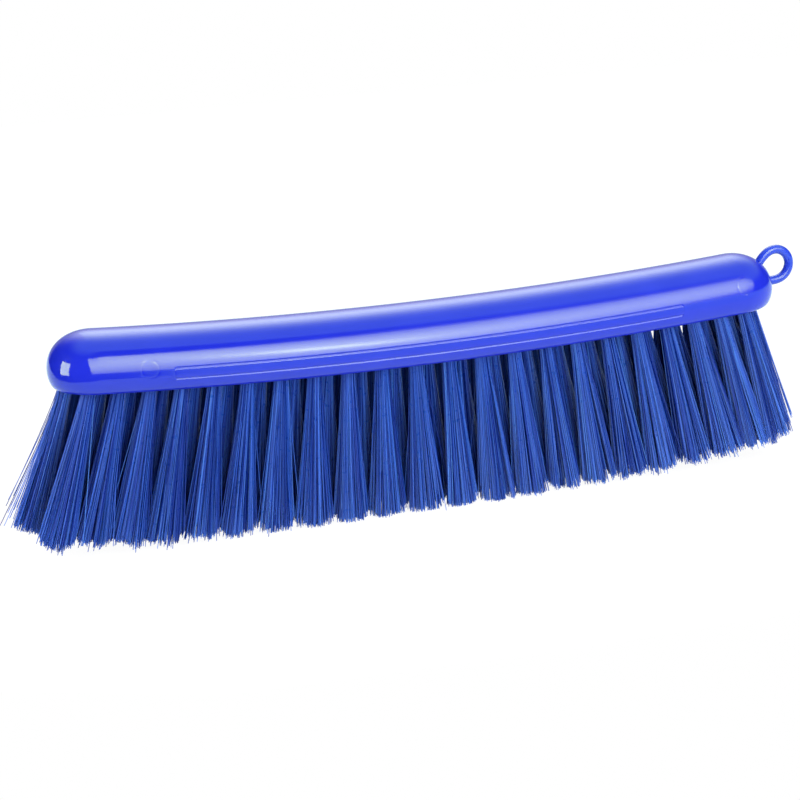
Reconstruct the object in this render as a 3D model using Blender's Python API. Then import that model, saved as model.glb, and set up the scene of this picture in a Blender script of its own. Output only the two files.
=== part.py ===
"""Curved flour brush: a moulded block, its hanging eye and three rows of bristle tufts.

The brush stands on its bristle tips. X runs along it towards the eye, Y across it to the
back and Z up. The origin is on the surface that it stands on, under the middle of the block.
"""

import math

import bmesh
import bpy
from mathutils import Matrix, Vector

# Block, in metres
BLOCK_LENGTH = 0.300
BLOCK_WIDTH = 0.033
CROWN_HEIGHT = 0.0147      # from the widest line up to the top
FLANK_DEPTH = 0.0072       # from the widest line down to the flat underside
DOME_LENGTH = 0.0177       # of each rounded end
BOW_RADIUS = 1.956         # the block rises towards both ends on this radius
LOWER_EDGE = 0.0009        # bevel all round the underside

# Long panel on each side of the block, outlined by a shallow groove
PANEL_LENGTH = 0.209
PANEL_RISE = 0.0018        # the groove's upper run, above the widest line
PANEL_DROP = 0.0025        # the groove's lower run, below the widest line
PANEL_CORNER = 0.0012
GROOVE_WIDTH = 0.0011
GROOVE_DEPTH = 0.00025

# Hanging eye, a ring with a shank that is let into the right-hand end
EYE_WIRE = 0.0038
EYE_HOLE = 0.0089
EYE_REACH = 0.0031         # the ring's centre, beyond the end of the block
EYE_RISE = 0.0068          # the ring's centre, above the tip of the end
EYE_SINK = 0.0025          # how much further the ring reaches into the block on that side
EYE_ROOT = math.radians(205)   # the side of the ring that lies in the block
SHANK_WIDTH = 0.0032
SHANK_LENGTH = 0.012

# Tufts
TUFTS_PER_LONG_ROW = 23    # the middle row; the rows beside it have one less
ROW_SPACING = 0.007
END_MARGIN = 0.0091        # from the end of the block to the last tuft's middle
CROWDING = 0.07            # how much closer together the tufts are towards the ends
TUFT_WIDTH = 0.0052
SOCKET_DEPTH = 0.011
FAN_RADIUS = 0.486         # the tufts along a row point away from a centre this far up
ROW_LEAN = math.radians(3.5)
BRISTLE_LENGTH = 0.0608    # from the underside to the trimmed tips, at the middle
TRIM_RADIUS = 1.53         # the tips are trimmed to this curve
FLAT_CUT = 0.0005          # the lowest tips end on a flat this far up the curve

# Strands that stand for the filaments of a tuft
STRANDS_PER_TUFT = 6
STRAND_SPREAD = 0.0052     # how far from the tuft's axis a strand has spread at the trim
STRAND_TAPER = 0.85
STRAND_GAP = 0.0003        # between two strands where they leave the root

# Tie that joins two neighbouring tufts of the middle row
TIE_WIDTH = 0.0024
TIE_HEIGHT = 0.0018

CLEARANCE = 0.0003         # between pieces that touch on the real brush

# Facets
SECTION_POINTS = 33
STRAIGHT_STEPS = 26
FLAT_DOME_STEPS = 6
ROUND_DOME_STEPS = 6
SOCKET_SIDES = 10
EYE_STEPS = 36
EYE_SIDES = 10
CORNER_STEPS = 3
EDGE_STEPS = 2
CUT_OVERRUN = 0.003        # how far a cutter stands out of the underside
GROOVE_OVERRUN = 0.00015   # how far the grooves' cutters stand out of the flanks

SHARP_ANGLE = math.radians(35)
BLOCK_BLUE = (0.020, 0.035, 0.76, 1.0)
FILAMENT_BLUE = (0.020, 0.085, 0.48, 1.0)

# Height of the block's widest line, at the middle of the brush
AXIS_HEIGHT = BRISTLE_LENGTH - FLAT_CUT + FLANK_DEPTH


def clear_scene():
    """Remove every object that the file opened with."""
    for old in list(bpy.data.objects):
        bpy.data.objects.remove(old, do_unlink=True)


def plastic(name, colour, roughness):
    """Make a Principled material of one colour."""
    material = bpy.data.materials.new(name)
    material.use_nodes = True
    shader = material.node_tree.nodes["Principled BSDF"]
    shader.inputs["Base Color"].default_value = colour
    shader.inputs["Roughness"].default_value = roughness
    shader.inputs["Metallic"].default_value = 0.0
    return material


def add_piece(name, bm, material, parent, placing=None):
    """Turn a mesh in world space into a named object, placed by its own matrix."""
    placing = placing or Matrix.Identity(4)
    bmesh.ops.recalc_face_normals(bm, faces=bm.faces)
    bm.transform(placing.inverted())
    mesh = bpy.data.meshes.new(name)
    bm.to_mesh(mesh)
    bm.free()
    mesh.shade_smooth()
    mesh.set_sharp_from_angle(angle=SHARP_ANGLE)
    mesh.materials.append(material)
    piece = bpy.data.objects.new(name, mesh)
    bpy.context.collection.objects.link(piece)
    piece.parent = parent
    piece.matrix_world = placing
    return piece


def add_cutter(name, bm, parent):
    """Make a guide object that shapes another piece and isn't part of the model."""
    bmesh.ops.recalc_face_normals(bm, faces=bm.faces)
    mesh = bpy.data.meshes.new(name)
    bm.to_mesh(mesh)
    bm.free()
    cutter = bpy.data.objects.new(name, mesh)
    bpy.context.collection.objects.link(cutter)
    cutter.parent = parent
    cutter.hide_render = True
    cutter.display_type = "WIRE"
    return cutter


def combine(piece, other, operation):
    """Cut another object from a piece, or join it on."""
    modifier = piece.modifiers.new(other.name, "BOOLEAN")
    modifier.operation = operation
    modifier.solver = "EXACT"
    modifier.object = other


def bend(x, y, z):
    """Bend a point of the straight block, whose Z starts at the widest line, into place."""
    angle = x / BOW_RADIUS
    reach = BOW_RADIUS - z
    return Vector((reach * math.sin(angle), y, AXIS_HEIGHT + BOW_RADIUS - reach * math.cos(angle)))


def bend_mesh(bm):
    """Bend a whole mesh of straight block coordinates into place."""
    for vert in bm.verts:
        vert.co = bend(*vert.co)


def loft(bm, rings):
    """Skin closed rings of equal count and cap both ends."""
    loops = [[bm.verts.new(point) for point in ring] for ring in rings]
    for near, far in zip(loops, loops[1:]):
        for index in range(len(near)):
            after = (index + 1) % len(near)
            bm.faces.new((near[index], near[after], far[after], far[index]))
    bm.faces.new(loops[0])
    bm.faces.new(reversed(loops[-1]))


def skin_ring(bm, loops):
    """Skin loops of equal count that follow each other round a closed ring."""
    for near, far in zip(loops, loops[1:] + loops[:1]):
        for index in range(len(near)):
            after = (index + 1) % len(near)
            bm.faces.new((near[index], near[after], far[after], far[index]))


def dome_stations():
    """List how far round the dome each ring lies, in radians, with one where the flat ends."""
    flat_end = math.acos(min(FLANK_DEPTH / CROWN_HEIGHT, 1.0))
    angles = [flat_end * step / FLAT_DOME_STEPS for step in range(1, FLAT_DOME_STEPS + 1)]
    rest = math.pi / 2 - flat_end
    angles += [flat_end + rest * step / ROUND_DOME_STEPS for step in range(1, ROUND_DOME_STEPS)]
    return angles


def block_section(x, share):
    """Give one ring of the straight block: an oval at a share of full size, cut flat below."""
    half_width = BLOCK_WIDTH / 2 * share
    crown = CROWN_HEIGHT * share
    start = -math.asin(min(FLANK_DEPTH / crown, 1.0))
    sweep = math.pi - 2 * start
    ring = []
    for index in range(SECTION_POINTS):
        angle = start + sweep * index / (SECTION_POINTS - 1)
        ring.append((x, half_width * math.cos(angle), crown * math.sin(angle)))
    return ring


def block_mesh():
    """Model the solid block without its sockets."""
    straight_end = BLOCK_LENGTH / 2 - DOME_LENGTH
    right = [(straight_end + DOME_LENGTH * math.sin(a), math.cos(a)) for a in dome_stations()]
    left = [(-x, share) for x, share in reversed(right)]
    steps = range(STRAIGHT_STEPS + 1)
    middle = [(straight_end * (2 * step / STRAIGHT_STEPS - 1), 1.0) for step in steps]
    rings = [block_section(x, share) for x, share in left + middle + right]
    bm = bmesh.new()
    loft(bm, rings)
    for face in [face for face in bm.faces if len(face.verts) == SECTION_POINTS]:
        side = math.copysign(BLOCK_LENGTH / 2, face.calc_center_median().x)
        tip = bmesh.ops.poke(bm, faces=[face])["verts"][0]
        tip.co = (side, 0, 0)
    bmesh.ops.remove_doubles(bm, verts=bm.verts, dist=1e-6)
    bmesh.ops.recalc_face_normals(bm, faces=bm.faces)
    rim = [edge for edge in bm.edges if is_underside_rim(edge)]
    bmesh.ops.bevel(bm, geom=rim, offset=LOWER_EDGE, segments=EDGE_STEPS, profile=0.5,
                    affect="EDGES", clamp_overlap=True)
    bend_mesh(bm)
    return bm


def is_underside_rim(edge):
    """Tell whether an edge divides the flat underside from the side of the block."""
    level = [face for face in edge.link_faces if face.normal.z < -0.999]
    return len(level) == 1 and all(abs(vert.co.z + FLANK_DEPTH) < 1e-6 for vert in edge.verts)


def panel_outline():
    """List the middle of a panel's groove as X and Z, once round."""
    long_half = PANEL_LENGTH / 2 - PANEL_CORNER
    middle = (PANEL_RISE - PANEL_DROP) / 2
    tall_half = (PANEL_RISE + PANEL_DROP) / 2 - PANEL_CORNER
    outline = []
    for quarter, (right, up) in enumerate(((1, 1), (-1, 1), (-1, -1), (1, -1))):
        for step in range(CORNER_STEPS + 1):
            angle = math.pi / 2 * (quarter + step / CORNER_STEPS)
            x = right * long_half + PANEL_CORNER * math.cos(angle)
            outline.append((x, middle + up * tall_half + PANEL_CORNER * math.sin(angle)))
        if right == up:
            z = outline[-1][1]
            shares = [step / STRAIGHT_STEPS for step in range(1, STRAIGHT_STEPS)]
            outline += [(right * long_half * (1 - 2 * share), z) for share in shares]
    return outline


def add_panel_groove(bm, side):
    """Add the cutter of the groove on one side, a three-sided tube that lies on the flank."""
    outline = panel_outline()
    widening = (GROOVE_DEPTH + GROOVE_OVERRUN) / GROOVE_DEPTH
    points = []
    for x, z in outline:
        across = math.sqrt(1 - (z / CROWN_HEIGHT) ** 2)
        normal = Vector((0, side * across / BLOCK_WIDTH * 2, z / CROWN_HEIGHT ** 2)).normalized()
        points.append((Vector((x, side * BLOCK_WIDTH / 2 * across, z)), normal))
    loops = []
    for index, (place, normal) in enumerate(points):
        ahead = points[(index + 1) % len(points)][0] - points[index - 1][0]
        aside = normal.cross(ahead).normalized() * GROOVE_WIDTH / 2 * widening
        base = place + normal * GROOVE_OVERRUN
        section = (place - normal * GROOVE_DEPTH, base + aside, base - aside)
        loops.append([bm.verts.new(point) for point in section])
    skin_ring(bm, loops)


def row_place(step):
    """Find how far along the block a tuft lies, counted in tufts from the middle."""
    share = step / ((TUFTS_PER_LONG_ROW - 1) / 2)
    half_span = BLOCK_LENGTH / 2 - END_MARGIN
    return half_span * ((1 + CROWDING) * share - CROWDING * share ** 3)


def tuft_frame(step, row):
    """Place a tuft: its origin where it leaves the underside, its Z back into the block."""
    x = row_place(step)
    mouth = bend(x, row * ROW_SPACING, -FLANK_DEPTH)
    fan = Matrix.Rotation(-x / FAN_RADIUS, 4, "Y")
    lean = Matrix.Rotation(row * ROW_LEAN, 4, "X")
    return Matrix.Translation(mouth) @ fan @ lean


def row_steps(count):
    """Count the tufts of a row from its middle outwards on both sides."""
    return [index - (count - 1) / 2 for index in range(count)]


def trim_height(x):
    """Find how high the trimmed tips are at one place along the brush."""
    curve = TRIM_RADIUS - math.sqrt(TRIM_RADIUS ** 2 - x ** 2) - FLAT_CUT
    return max(curve, 0.0)


def trimmed(start, end):
    """Find where the line from start through end meets the trim."""
    run = end - start
    share = 1.0
    for _ in range(8):
        point = start + run * share
        share += (point.z - trim_height(point.x)) / -run.z
    return start + run * share


def add_prism(bm, frame, radius, low, high, sides):
    """Add a prism round a frame's Z and return its lower ring of vertices."""
    rings = []
    for z in (low, high):
        angles = [math.tau * index / sides for index in range(sides)]
        ring = [Vector((radius * math.cos(a), radius * math.sin(a), z)) for a in angles]
        rings.append([bm.verts.new(frame @ point) for point in ring])
    bottom, top = rings
    for index in range(sides):
        after = (index + 1) % sides
        bm.faces.new((bottom[index], bottom[after], top[after], top[index]))
    bm.faces.new(top)
    return bottom


def add_socket(bm, frame):
    """Add the cutter of one tuft's socket."""
    radius = (TUFT_WIDTH / 2 + CLEARANCE) / math.cos(math.pi / SOCKET_SIDES)
    depth = SOCKET_DEPTH + CLEARANCE
    mouth = add_prism(bm, frame, radius, -CUT_OVERRUN, depth, SOCKET_SIDES)
    bm.faces.new(reversed(mouth))


def add_tuft(bm, frame):
    """Add one tuft: a six-sided root and a three-sided strand from each of its sectors."""
    rim = add_prism(bm, frame, TUFT_WIDTH / 2, 0.0, SOCKET_DEPTH, STRANDS_PER_TUFT)
    middle = bm.verts.new(frame.translation)
    sectors = []
    for index in range(STRANDS_PER_TUFT):
        after = (index + 1) % STRANDS_PER_TUFT
        sectors.append(bm.faces.new((middle, rim[after], rim[index])))
    bmesh.ops.inset_individual(bm, faces=sectors, thickness=STRAND_GAP / 2)
    strands = bmesh.ops.extrude_discrete_faces(bm, faces=sectors)["faces"]
    into_frame = frame.inverted()
    for strand in strands:
        root = into_frame @ strand.calc_center_median()
        tip = root.normalized() * STRAND_SPREAD + Vector((0, 0, -BRISTLE_LENGTH))
        for vert in strand.verts:
            offset = into_frame @ vert.co - root
            vert.co = trimmed(vert.co.copy(), frame @ (tip + offset * STRAND_TAPER))


def add_tie(bm, first, second, clearance):
    """Add the bar that joins two middle tufts just inside the underside, or its slot."""
    start = first.translation
    end = second.translation
    along = (end - start).normalized()
    up = along.cross(Vector((0, 1, 0))) * -1
    side = Vector((0, TIE_WIDTH / 2 + clearance, 0))
    floor = up * (-CUT_OVERRUN if clearance else 0.0)
    roof = up * (TIE_HEIGHT + clearance)
    corners = [floor - side, floor + side, roof + side, roof - side]
    loft(bm, [[place + corner for corner in corners] for place in (start, end)])


def eye_centre():
    """Find the middle of the hanging eye, from the tip of the block's right-hand end."""
    return bend(BLOCK_LENGTH / 2, 0, 0) + Vector((EYE_REACH, 0, EYE_RISE))


def eye_path(turn):
    """Find a point on the middle line of the eye's wire, which swells out inside the block."""
    outward = Vector((math.cos(turn), 0, math.sin(turn)))
    inward = Vector((math.cos(EYE_ROOT), 0, math.sin(EYE_ROOT)))
    swell = EYE_SINK * max(outward.dot(inward), 0.0) ** 2
    return eye_centre() + outward * (EYE_HOLE + EYE_WIRE) / 2 + inward * swell


def add_eye_ring(bm, clearance):
    """Add the ring of the hanging eye, or its seat in the block."""
    wire_radius = EYE_WIRE / 2 + clearance
    angles = [math.tau * index / EYE_SIDES for index in range(EYE_SIDES)]
    loops = []
    for step in range(EYE_STEPS):
        turn = math.tau * step / EYE_STEPS
        outward = Vector((math.cos(turn), 0, math.sin(turn)))
        loop = []
        for angle in angles:
            point = eye_path(turn) + outward * wire_radius * math.cos(angle)
            point.y += wire_radius * math.sin(angle)
            loop.append(bm.verts.new(point))
        loops.append(loop)
    skin_ring(bm, loops)


def add_eye_shank(bm, clearance):
    """Add the shank of the hanging eye, or its bore, along the block from the ring."""
    start = Vector((eye_path(math.pi).x, 0, eye_centre().z))
    into_block = Matrix.Translation(start) @ Matrix.Rotation(-math.pi / 2, 4, "Y")
    radius = SHANK_WIDTH / 2 + clearance
    end = add_prism(bm, into_block, radius, 0.0, SHANK_LENGTH + clearance, EYE_SIDES)
    bm.faces.new(reversed(end))


def make_block(parent, material):
    """Make the block with its grooves, tuft sockets, tie slots and the eye's seat."""
    block = add_piece("brush_block", block_mesh(), material, parent)
    grooves = bmesh.new()
    for side in (-1, 1):
        add_panel_groove(grooves, side)
    bend_mesh(grooves)
    combine(block, add_cutter("groove_cutter", grooves, parent), "DIFFERENCE")
    sockets = bmesh.new()
    for row, count in tuft_rows():
        for step in row_steps(count):
            add_socket(sockets, tuft_frame(step, row))
    combine(block, add_cutter("socket_cutter", sockets, parent), "DIFFERENCE")
    slots = bmesh.new()
    for pair in middle_groups():
        if len(pair) == 2:
            add_tie(slots, tuft_frame(pair[0], 0), tuft_frame(pair[1], 0), CLEARANCE)
    add_eye_ring(slots, CLEARANCE)
    combine(block, add_cutter("slot_cutter", slots, parent), "DIFFERENCE")
    bore = bmesh.new()
    add_eye_shank(bore, CLEARANCE)
    combine(block, add_cutter("shank_cutter", bore, parent), "DIFFERENCE")


def make_eye(parent, material):
    """Make the hanging eye as one ring and shank."""
    ring = bmesh.new()
    add_eye_ring(ring, 0.0)
    eye = add_piece("hanging_eye", ring, material, parent)
    shank = bmesh.new()
    add_eye_shank(shank, 0.0)
    combine(eye, add_cutter("shank_shape", shank, parent), "UNION")


def tuft_rows():
    """List each row's side of the brush, from front to back, with its number of tufts."""
    return [(-1, TUFTS_PER_LONG_ROW - 1), (0, TUFTS_PER_LONG_ROW), (1, TUFTS_PER_LONG_ROW - 1)]


def middle_groups():
    """Group the middle row's tufts in pairs, with the last one by itself."""
    steps = row_steps(TUFTS_PER_LONG_ROW)
    return [steps[index:index + 2] for index in range(0, len(steps), 2)]


def make_side_row(name, row, parent, material):
    """Make the separate tufts of the front or the back row."""
    for number, step in enumerate(row_steps(TUFTS_PER_LONG_ROW - 1), start=1):
        frame = tuft_frame(step, row)
        bm = bmesh.new()
        add_tuft(bm, frame)
        add_piece(f"{name}_tuft_{number:02d}", bm, material, parent, frame)


def make_middle_row(parent, material):
    """Make the middle row's tufts, two to a piece where they are tied."""
    for number, steps in enumerate(middle_groups(), start=1):
        frames = [tuft_frame(step, 0) for step in steps]
        bm = bmesh.new()
        for frame in frames:
            add_tuft(bm, frame)
        name = f"middle_tufts_{number:02d}"
        piece = add_piece(name, bm, material, parent, frames[0])
        if len(frames) == 2:
            tie = bmesh.new()
            add_tie(tie, frames[0], frames[1], 0.0)
            combine(piece, add_cutter(f"{name}_tie", tie, parent), "UNION")


def make_brush():
    """Make the whole brush under one empty."""
    clear_scene()
    moulded = plastic("moulded_block_plastic", BLOCK_BLUE, 0.14)
    filament = plastic("bristle_filament", FILAMENT_BLUE, 0.42)
    root = bpy.data.objects.new("flour_brush", None)
    bpy.context.collection.objects.link(root)
    make_block(root, moulded)
    make_eye(root, moulded)
    make_side_row("front", -1, root, filament)
    make_middle_row(root, filament)
    make_side_row("back", 1, root, filament)


make_brush()
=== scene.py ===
"""Looks of the curved flour brush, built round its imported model.

Everything is in metres in the frame of the model: X along the brush towards the eye, Y to the
back, Z up from the surface that the bristle tips stand on. A tuft's step is its place in its row:
0 in the middle, below 0 on the left, above 0 towards the eye. Its row is -1 in front, 0 in the
middle and 1 at the back. The leftmost tuft is the first one of the middle row.
"""

import math

import bpy
import numpy as np
from mathutils import Matrix, Vector


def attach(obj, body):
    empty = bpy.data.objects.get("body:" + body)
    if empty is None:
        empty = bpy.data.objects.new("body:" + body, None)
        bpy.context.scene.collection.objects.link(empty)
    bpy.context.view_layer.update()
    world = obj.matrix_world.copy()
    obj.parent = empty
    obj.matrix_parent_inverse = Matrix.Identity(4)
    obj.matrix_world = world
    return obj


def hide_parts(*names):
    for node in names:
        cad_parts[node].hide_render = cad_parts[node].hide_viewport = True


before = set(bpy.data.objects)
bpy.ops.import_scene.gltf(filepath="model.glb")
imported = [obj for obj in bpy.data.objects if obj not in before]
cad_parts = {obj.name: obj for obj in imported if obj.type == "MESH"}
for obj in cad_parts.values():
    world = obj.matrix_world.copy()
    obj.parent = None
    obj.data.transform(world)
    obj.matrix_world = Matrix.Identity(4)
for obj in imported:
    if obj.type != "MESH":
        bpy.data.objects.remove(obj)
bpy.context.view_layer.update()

# ---- settings

SEED = 20461
MIDDLE_SEED = 7             # the middle row's part of the seed
GOLDEN_ANGLE = math.pi * (3 - math.sqrt(5))
TINY = 1e-9

# The block, as in the model
BLOCK_LENGTH = 0.300
HALF_WIDTH = 0.0165
CROWN_HEIGHT = 0.0147
FLANK_DEPTH = 0.0072
DOME_LENGTH = 0.0177
BOW_RADIUS = 1.956
AXIS_HEIGHT = 0.0675

# The outlined panel on each flank; its lines lie up to 0.4 mm lower than in the model
PANEL_HALF_LENGTH = 0.1045
PANEL_RISE = 0.00145
PANEL_DROP = 0.00275
PANEL_CORNER = 0.0012
GROOVE_WIDTH = 0.0011
GROOVE_DEPTH = 0.00028
END_RUN_SHARE = 0.08        # depth of the groove's short end runs, as a share
END_RUN_START = 0.3         # how far into the corner they start, as a share

# Plain moulding marks on the front flank: X, Z, radius and depth of each ring
MARKS = ((-0.1135, 0.0015, 0.0034, 0.00005), (0.1325, 0.0045, 0.0036, 0.000065))
MARK_WIDTH = 0.0007
MARK_MARGIN = 1.2           # how far the fine mesh reaches round a mark, in radii

# How the block differs from the model: fuller domes and a rounded underside
LEFT_DOME_POWER = 2.12
RIGHT_DOME_POWER = 2.05
UNDERSIDE_ROUNDING = 0.0011
ROUNDING_REACH = 0.002
UNDERSIDE_DROP = 0.0008     # how far the rounded underside reaches below the flat one

# Fineness of the block's mesh
DOME_RINGS = 70
COARSE_STATION = 0.0030
FINE_STATION = 0.00015
STATION_DIGITS = 6
COARSE_HEIGHT = 0.0004
FINE_HEIGHT = 0.0001
FINE_LOW = 0.98             # where the finely divided flank ends, as a share of its depth
FINE_HIGH = 0.58            # and of the crown's height
GROOVE_MARGIN = 0.8         # how far the fine mesh reaches round a groove, in groove widths
CROWN_POINTS = 50
UNDERSIDE_POINTS = 40

# The hanging eye, as in the model
EYE_RING = 0.00635
EYE_WIRE = 0.0019
EYE_REACH = 0.0031
EYE_RISE = 0.0068
EYE_SINK = 0.0025
EYE_ROOT = math.radians(205)
EYE_TURNS = 120
EYE_SIDES = 32
SEAM_SPAN = (0.0002, 0.0006)    # how far from the wire the seam in the block fades
SEAM_DEPTH = 0.0005

# The tufts, as in the model
ROW_SPACING = 0.007
END_MARGIN = 0.0091
CROWDING = 0.07
FAN_RADIUS = 0.486
ROW_LEAN = math.radians(3.5)
BRISTLE_LENGTH = 0.0608
TRIM_RADIUS = 1.53
FLAT_CUT = 0.0005
LONG_ROW = 23
END_STEP = (LONG_ROW - 3) / 2   # past it lie only the first or last tufts of the rows

# The filaments of a tuft
FILAMENTS = 300
FILAMENT_RADIUS = 0.00016
TUFT_RADIUS = 0.0026
SPREAD_ALONG = 0.0078
SPREAD_ACROSS = 0.0048
WIDEST_SPREAD = 0.0172      # how far any tip may stand off the middle plane
ROOT_INSIDE = 0.002
CLUMPS = 14
CLUMP_DRIFT = 0.0005        # how far clumps stray
TIGHTNESS = (0.6, 1.0)      # how closely the filaments of a clump keep together
TIP_SCATTER = 0.00035       # how far the tips of single filaments stray
LOOSE_SHARE, LOOSE_REACH = 0.07, 0.0015     # filaments whose tips stray further
WILD_SHARE, WILD_REACH = 0.012, 0.003       # and furthest
LEFTMOST_WILD_REACH = 0.0015
FILAMENT_BOW = 0.00022
FLARE = 1.12                # power by which a filament moves from its root's place to its tip's

# The mesh of a filament
STEPS = 7
SIDES = 4                   # the ends close with one face each, so every face has four corners
TUBE_TURN = 0.3
SHARP_ANGLE = math.radians(80)

# How the tufts differ: shifts along X
END_DRIFT_SPAN = (9.4, 11.0)        # steps over which the tips near the ends begin to drift
LEFT_END_DRIFT = -0.0010
RIGHT_END_DRIFT = -0.0032
WAVER = 0.0011                      # how far the tips of the others may drift
WAVER_TURNS = (12.9, 4.1)           # radians per step and per row of that
LEFTMOST_DRIFT = -0.0018
LEFTMOST_SHIFT = -0.0023            # of the whole tuft
LAST_SHIFT = -0.0009                # of the last tuft in each row
LEFTMOST_FLARE = 0.12               # added to its FLARE
# Tufts whose roots stand off their places: row and number, and how far
NUDGES = {(1, 1): -0.0022, (1, 19): 0.0036, (1, 20): 0.0040, (0, 19): -0.0010, (0, 20): -0.0007}

# The trim: height over the floor along X, and how much shorter single filaments are
LEFT_TRIM_SHARE = 0.80      # how steeply the left half is trimmed
RIGHT_TRIM_SHARE = 1.10     # and the right half
UNEVEN_TRIM = ((-0.160, 0.0), (-0.137, 0.0013), (-0.120, 0.0), (-0.100, 0.0008), (-0.060, 0.0),
               (0.040, 0.0), (0.050, 0.0011), (0.070, 0.0009), (0.085, -0.0003), (0.105, 0.0002),
               (0.116, 0.0009), (0.130, 0.0002), (0.148, 0.0014))
LEFT_TIPS_RISE = 0.0065     # how much higher the outermost tips are on the left
LEFT_RISE_SPAN = (0.152, 0.168)
RIGHT_TIPS_RISE = 0.0038    # and on the right
RIGHT_RISE_SPAN = (0.142, 0.160)
CLUMP_TRIM = (-0.0014, 0.0012)
TRIM_SCATTER = 0.0008
RIM_TRIM = 0.0014           # how much shorter a tuft is at its rim
RIM_POWER = 5
NOTCH_DEPTH = 0.0020        # how much shorter it is towards its neighbours
NOTCH_POWER = 4
TRIM_SLANT = 0.0009         # how far its trim may slope
SLANT_TURNS = (7.3, 1.7)    # radians per step and per row of that
BROKEN_SHARE = 0.05
BROKEN_TRIM = (0.001, 0.005)
TRIM_ROUNDS = 6
LOWEST_TIP = 0.0003

# Tone of each filament, and its painted shade towards the root as a share of that
CLUMP_TONE = (0.445, 0.06)
TONE_SCATTER = 0.26
# Painted light: the leftmost tuft, which the front row shades, gets a lighter tone. Painted shade:
# the tufts towards the left end get a darker tone.
LEFTMOST_PAINTED_LIGHT = 0.04
LEFT_PAINTED_SHADE = -0.13           # change of tone towards the left end
LEFT_PAINTED_SHADE_SPAN = (6.0, 9.0)
TIP_TONE = 0.11
TIP_TONE_SPAN = (0.75, 1.0)
INNER_SHADE = 0.40          # of the filaments of the outer rows that face the inside
INNER_SPAN = (-0.7, 0.1)    # from the inner side of a tuft to the outer one, in tuft radii
SHADE_SPAN = (0.1, 0.85)    # where the shade ends on the way from the root to the tip

# The stray filaments beside the leftmost tuft
STRAYS = 15
STRAY_ROOT = -0.0042
STRAY_ROOT_SPAN = (-0.0004, 0.0014)
STRAY_ROW_SPAN = (-0.0025, 0.0025)
STRAY_REACH = (0.0058, 0.0115)
STRAY_SCATTER = 0.0006
STRAY_DROP = (0.046, 0.053)
STRAY_FLARE = 1.2
STRAY_ACROSS = 0.004
STRAY_TONE = (0.55, 0.25)

# The plastics: noise scales per metre, and colours
NOISE_SPAN = (0.3, 0.7)     # where nearly all values of a noise lie
PLASTIC_IOR = 1.5
CLOUD_SCALE, CLOUD_DETAIL = 60.0, 3.0
BLOCK_GRAIN, EYE_GRAIN = 900.0, 200.0
GRAIN_DETAIL, GRAIN_ROUGHNESS = 4.0, 0.6
BLOCK_RIPPLE, EYE_RIPPLE = 0.3, 0.04
RIPPLE_SCALE = 160.0
RIPPLE_HEIGHT = 0.00004
MOULDED_ROUGHNESS = (0.055, 0.10)
MOULDED_GLOSS_TINT = (0.835, 0.96, 0.24, 1)
BLOCK_COLOURS = ((0.0120, 0.0235, 0.540, 1), (0.0150, 0.0275, 0.575, 1))
EYE_COLOURS = ((0.020, 0.049, 0.55, 1), (0.026, 0.060, 0.59, 1))
FILAMENT_COLOURS = ((0.0, (0.003, 0.017, 0.17, 1)), (0.30, (0.022, 0.058, 0.36, 1)),
                    (0.5, (0.019, 0.094, 0.49, 1)), (0.72, (0.044, 0.128, 0.56, 1)),
                    (1.0, (0.058, 0.195, 0.66, 1)))
FILAMENT_GRAIN = 500.0
FILAMENT_ROUGHNESS = (0.26, 0.38)
GLOSSY_TONES = (0.08, 0.50)     # shaded tones over which a filament's gloss rises
FILAMENT_GLOSS = (0.0, 0.57)

# The camera
AZIMUTH = math.radians(16.523)
ELEVATION = math.radians(15.667)
ROLL = math.radians(2.932)
DISTANCE = 0.8518
AIM_RIGHT = -0.011337
AIM_UP = -0.024407
FOCAL_PIXELS = 2147.9
FRAME_PIXELS = 800
SENSOR = 36.0
CLIP_START, CLIP_END = 0.01, 20.0

# What the brush mirrors. All angles are in degrees: azimuth from the front towards the eye's side,
# elevation from the horizon. A soft edge is the span over which a light comes up.
WHITE = (1, 1, 1, 1)
ROOM_COLOUR = (0.66, 1.0, 1.0, 1)
BACKGROUND_LEVEL = 1.0          # of the white that the camera sees

# The main soft box, in front to the right, whose right part lies out of focus
BOX_LEFT_EDGE = 7.3             # to the left of the front
BOX_LEFT_SLANT = 0.150
BOX_LEFT_SOFT = (-0.8, 0.8)
BOX_RIGHT_EDGE = 40.5
BOX_RIGHT_SLANT = 0.383
BOX_RIGHT_SOFT = (-4.0, 5.0)
BOX_TOP_EDGE = 46.8
BOX_TOP_STEP = 3.4              # how much higher its right part reaches
BOX_TOP_STEP_SPAN = (15.0, 24.0)
BOX_TOP_FALL = 1.1              # how steeply its top then comes down, from this azimuth on
BOX_TOP_FALL_START = 30.0
BOX_TOP_SOFT = 1.5              # half the soft top edge
BOX_TOP_BLUR = 13.5             # how much more it is on the right
BOX_TOP_BLUR_SPAN = (18.0, 40.0)
BOX_LOW_EDGE = 5.0              # below the horizon
BOX_LOW_RISE = 4.0              # how much higher that edge is on the right
BOX_LOW_SOFT = (-2.0, 4.0)
BOX_LOW_BLUR = (5.0, 19.0)      # how much further it reaches on the right, down and up
BOX_LOW_BLUR_SPAN = (20.0, 26.0)
BOX_LEVEL = 8.5
BOX_DIMMING = 3.1               # how much weaker it is on the right
BOX_DIMMING_SPAN = (18.0, 38.0)
BOX_HEIGHT = (25.0, 30.0)       # elevation of its middle, and the width of its fall
BOX_SWELL_AZIMUTH = (17.0, 3.5)     # middle and width of a brighter upright strip
BOX_SWELL_LEVEL = 2.9
HOT_SPOT_AZIMUTH = (16.0, 1.3)
HOT_SPOT_ELEVATION = (21.5, 6.0)
HOT_SPOT_LEVEL = 11.0

# The soft lamp high behind the brush
LOBE_AZIMUTH = math.radians(165)
LOBE_ELEVATION = math.radians(45.5)
LOBE_WIDTH = 21.6
LOBE_LEVEL = 4.65

# The white backdrop behind it; the span is of the cosine of the angle off the camera's azimuth
BACKDROP_SPAN = (0.66, 0.78)
BACKDROP_TOP = 40.0
BACKDROP_LEVEL = 0.50

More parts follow.
